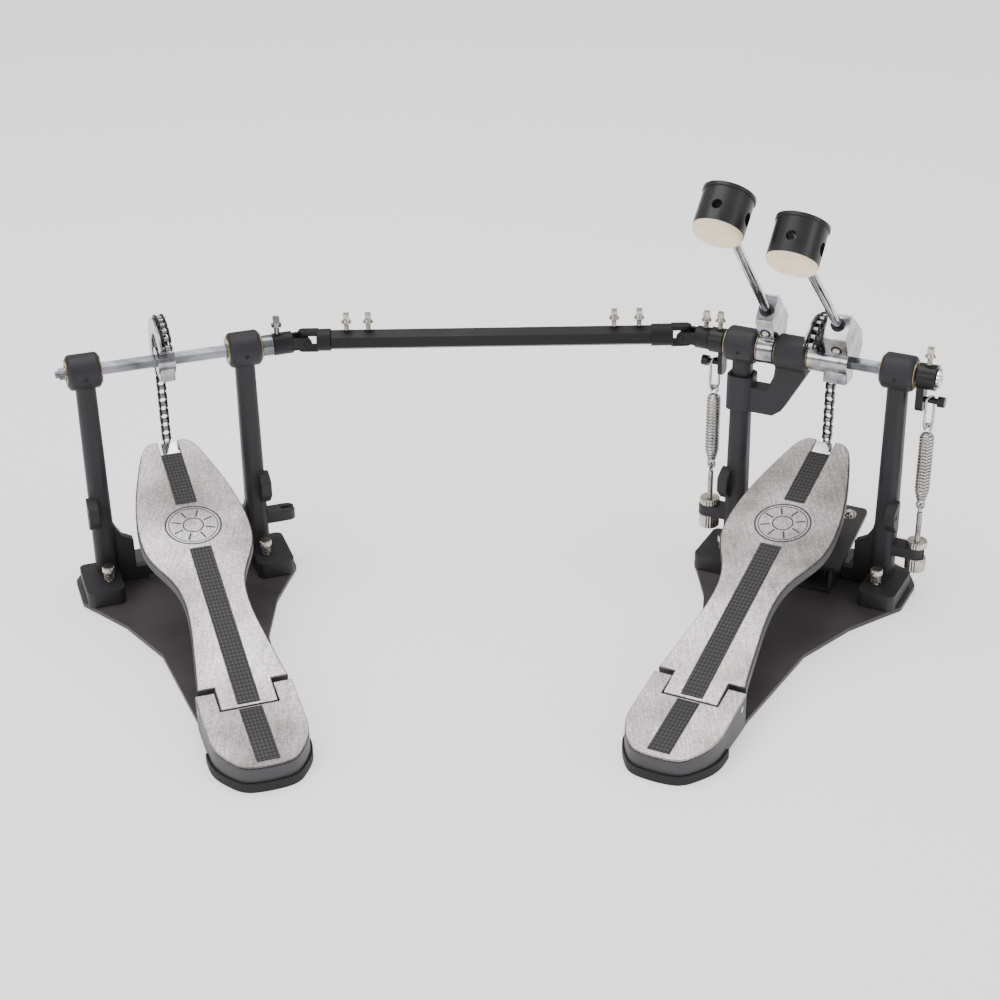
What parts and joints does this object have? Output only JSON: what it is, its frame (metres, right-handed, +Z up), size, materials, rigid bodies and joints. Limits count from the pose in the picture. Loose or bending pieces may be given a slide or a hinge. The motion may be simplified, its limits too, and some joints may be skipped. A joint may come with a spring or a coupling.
{
  "type": "double bass drum pedal",
  "caption": "Twin bass drum pedal: a main pedal with side-by-side beaters, a chain-driven footboard each side, and a telescopic drive shaft on universal joints.",
  "frame": {"origin": "on the floor, under the middle of the whole object's bounding box", "axes": "+X runs along the drive shaft from the left pedal to the main pedal, +Y points towards the drum and away from the player, +Z is up"},
  "size_m": [0.7602, 0.4074, 0.4011],
  "materials": {
    "charcoal_metal": "matt powder coat",
    "coated_casting": "matt powder coat on a light casting",
    "black_metal": "satin black",
    "tread_metal": "brushed",
    "board_casting": "matt grey",
    "rubber": "matt",
    "chrome": "polished",
    "cast_alloy": "polished casting",
    "nickel": "bright nickel",
    "chain_steel": "oiled steel",
    "brass": "plain",
    "head_plastic": "satin",
    "felt": "dense felt"
  },
  "bodies": {
    "main_base": {"main_base_plate": "charcoal_metal", "main_frame": "coated_casting", "yoke_bracket": "coated_casting", "main_bearings": "brass", "main_heel_block": "coated_casting", "main_heel_plate": "tread_metal", "main_heel_foot": "rubber", "main_hinge_pin": "nickel", "main_spur_screws": "nickel", "spring_eye_bolts": "nickel", "spring_adjusting_nuts": "nickel", "clamp_base": "charcoal_metal"},
    "left_base": {"left_base_plate": "charcoal_metal", "left_frame": "coated_casting", "left_bearings": "brass", "left_heel_block": "coated_casting", "left_heel_plate": "tread_metal", "left_heel_foot": "rubber", "left_hinge_pin": "nickel", "left_spur_screws": "nickel"},
    "left_board": {"left_footboard": "board_casting", "left_tread_plate": "tread_metal", "left_tread_strip": "rubber", "left_chain_clip": "chrome"},
    "left_chain": {"left_hanging_chain": "chain_steel"},
    "left_shaft": {"left_axle": "chrome", "left_sprocket": "cast_alloy", "left_wrapped_chain": "chain_steel", "left_axle_fork": "black_metal"},
    "left_cross": {"left_joint_cross": "black_metal"},
    "rod_half": {"drive_rod": "black_metal"},
    "tube_half": {"drive_tube": "black_metal", "tube_screws": "nickel"},
    "right_cross": {"right_joint_cross": "black_metal"},
    "second_shaft": {"second_axle": "chrome", "second_hub": "cast_alloy", "second_rocker": "black_metal", "second_screws": "nickel"},
    "second_rod": {"second_beater_rod": "chrome"},
    "second_head": {"second_beater_head": "head_plastic", "second_beater_face": "felt"},
    "second_coil": {"second_spring": "nickel"},
    "second_link": {"second_spring_link": "nickel"},
    "main_shaft": {"main_axle": "chrome", "main_sprocket_hub": "cast_alloy", "main_wrapped_chain": "chain_steel", "main_rocker": "black_metal", "main_screws": "nickel"},
    "main_rod": {"main_beater_rod": "chrome"},
    "main_head": {"main_beater_head": "head_plastic", "main_beater_face": "felt"},
    "main_coil": {"main_spring": "nickel"},
    "main_link": {"main_spring_link": "nickel"},
    "main_board": {"main_footboard": "board_casting", "main_tread_plate": "tread_metal", "main_tread_strip": "rubber", "main_chain_clip": "chrome"},
    "main_chain": {"main_hanging_chain": "chain_steel"},
    "jaw": {"clamp_jaw": "black_metal"},
    "knob": {"clamp_knob": "black_metal"}
  },
  "joints": [
    {"name": "shaft_reach", "type": "slide", "parent": "main_base", "child": "left_base", "axis": [-1, 0, 0], "range_m": [0, 0.08]},
    {"name": "left_axle_turn", "type": "hinge", "parent": "left_base", "child": "left_shaft", "pos_m": [-0.28449, 0.13867, 0.211], "axis": [-0.9494, -0.314, 0], "range_deg": [0, 46], "stiffness_Nm_per_rad": 0.6, "springref_deg": -20.05},
    {"name": "left_footboard_tilt", "type": "hinge", "parent": "left_base", "child": "left_board", "pos_m": [-0.1994, -0.11863, 0.025], "axis": [-0.9494, -0.314, 0], "range_deg": [0, 5.03]},
    {"name": "left_chain_swing", "type": "hinge", "parent": "left_board", "child": "left_chain", "pos_m": [-0.29589, 0.17313, 0.113], "axis": [0.9494, 0.314, 0], "range_deg": [0, 15.11]},
    {"name": "main_axle_turn", "type": "hinge", "parent": "main_base", "child": "main_shaft", "pos_m": [0.27963, 0.12111, 0.211], "axis": [-0.8902, 0.4555, 0], "range_deg": [0, 46], "stiffness_Nm_per_rad": 0.6, "springref_deg": -20.05},
    {"name": "main_footboard_tilt", "type": "hinge", "parent": "main_base", "child": "main_board", "pos_m": [0.15617, -0.12014, 0.025], "axis": [-0.8902, 0.4555, 0], "range_deg": [0, 5.03]},
    {"name": "main_chain_swing", "type": "hinge", "parent": "main_board", "child": "main_chain", "pos_m": [0.29616, 0.15343, 0.113], "axis": [0.8902, -0.4555, 0], "range_deg": [0, 15.11]},
    {"name": "left_cross_tilt", "type": "hinge", "parent": "left_shaft", "child": "left_cross", "pos_m": [-0.16676, 0.1776, 0.211], "axis": [-0.314, 0.9494, 0], "range_deg": [0, 13.41]},
    {"name": "drive_rod_turn", "type": "hinge", "parent": "left_base", "child": "rod_half", "pos_m": [-0.16676, 0.1776, 0.211], "axis": [-1, 0, 0], "range_deg": [0, 47.54]},
    {"name": "drive_tube_turn", "type": "hinge", "parent": "main_base", "child": "tube_half", "pos_m": [0.16924, 0.1776, 0.211], "axis": [-1, 0, 0], "range_deg": [0, 47.54]},
    {"name": "second_axle_turn", "type": "hinge", "parent": "main_base", "child": "second_shaft", "pos_m": [0.27963, 0.12111, 0.211], "axis": [-0.8902, 0.4555, 0], "range_deg": [0, 44.18]},
    {"name": "right_cross_tilt", "type": "hinge", "parent": "second_shaft", "child": "right_cross", "pos_m": [0.16924, 0.1776, 0.211], "axis": [-0.4555, -0.8902, 0], "range_deg": [0, 19.62]},
    {"name": "main_beater_height", "type": "slide", "parent": "main_shaft", "child": "main_rod", "axis": [-0.3385, -0.6616, 0.6691], "range_m": [-0.008, 0.02]},
    {"name": "main_head_turn", "type": "hinge", "parent": "main_rod", "child": "main_head", "pos_m": [0.2333, -0.00673, 0.36006], "axis": [-0.3385, -0.6616, 0.6691], "range_deg": [0, 180]},
    {"name": "second_beater_height", "type": "slide", "parent": "second_shaft", "child": "second_rod", "axis": [-0.3164, -0.6184, 0.7193], "range_m": [-0.008, 0.02]},
    {"name": "second_head_turn", "type": "hinge", "parent": "second_rod", "child": "second_head", "pos_m": [0.18017, 0.02938, 0.37199], "axis": [-0.3164, -0.6184, 0.7193], "range_deg": [0, 180]},
    {"name": "main_spring_swing", "type": "hinge", "parent": "main_base", "child": "main_coil", "pos_m": [0.36687, 0.07647, 0.088], "axis": [0.8902, -0.4555, 0], "range_deg": [0, 7.95]},
    {"name": "main_spring_stretch", "type": "slide", "parent": "main_coil", "child": "main_link", "axis": [0, 0, 1], "range_m": [0, 0.00748], "deforming": ["main_spring"]},
    {"name": "second_spring_swing", "type": "hinge", "parent": "main_base", "child": "second_coil", "pos_m": [0.19506, 0.16439, 0.087], "axis": [0.8902, -0.4555, 0], "range_deg": [0, 7.67]},
    {"name": "second_spring_stretch", "type": "slide", "parent": "second_coil", "child": "second_link", "axis": [0, 0, 1], "range_m": [0, 0.00693], "deforming": ["second_spring"]},
    {"name": "clamp_jaw_tilt", "type": "hinge", "parent": "main_base", "child": "jaw", "pos_m": [0.26778, 0.09797, 0.023], "axis": [-0.8902, 0.4555, 0], "range_deg": [0, 14]},
    {"name": "clamp_knob_turn", "type": "hinge", "parent": "main_base", "child": "knob", "pos_m": [0.28509, 0.13179, 0.05], "axis": [0, 0, 1], "continuous": true}
  ],
  "couplings": [
    {"joint": "left_footboard_tilt", "follows": "left_axle_turn", "ratio": 0.109},
    {"joint": "left_chain_swing", "follows": "left_axle_turn", "ratio": 0.328},
    {"joint": "main_footboard_tilt", "follows": "main_axle_turn", "ratio": 0.109},
    {"joint": "main_chain_swing", "follows": "main_axle_turn", "ratio": 0.328},
    {"joint": "left_cross_tilt", "follows": "left_axle_turn", "ratio": 0.291},
    {"joint": "drive_rod_turn", "follows": "left_axle_turn", "ratio": 1.033},
    {"joint": "drive_tube_turn", "follows": "left_axle_turn", "ratio": 1.033},
    {"joint": "second_axle_turn", "follows": "left_axle_turn", "ratio": 0.96},
    {"joint": "right_cross_tilt", "follows": "left_axle_turn", "ratio": 0.426},
    {"joint": "main_spring_swing", "follows": "main_axle_turn", "ratio": 0.1724},
    {"joint": "main_spring_stretch", "follows": "main_axle_turn", "m_per_rad": 0.009291},
    {"joint": "second_spring_swing", "follows": "left_axle_turn", "ratio": 0.1663},
    {"joint": "second_spring_stretch", "follows": "left_axle_turn", "m_per_rad": 0.00861}
  ]
}
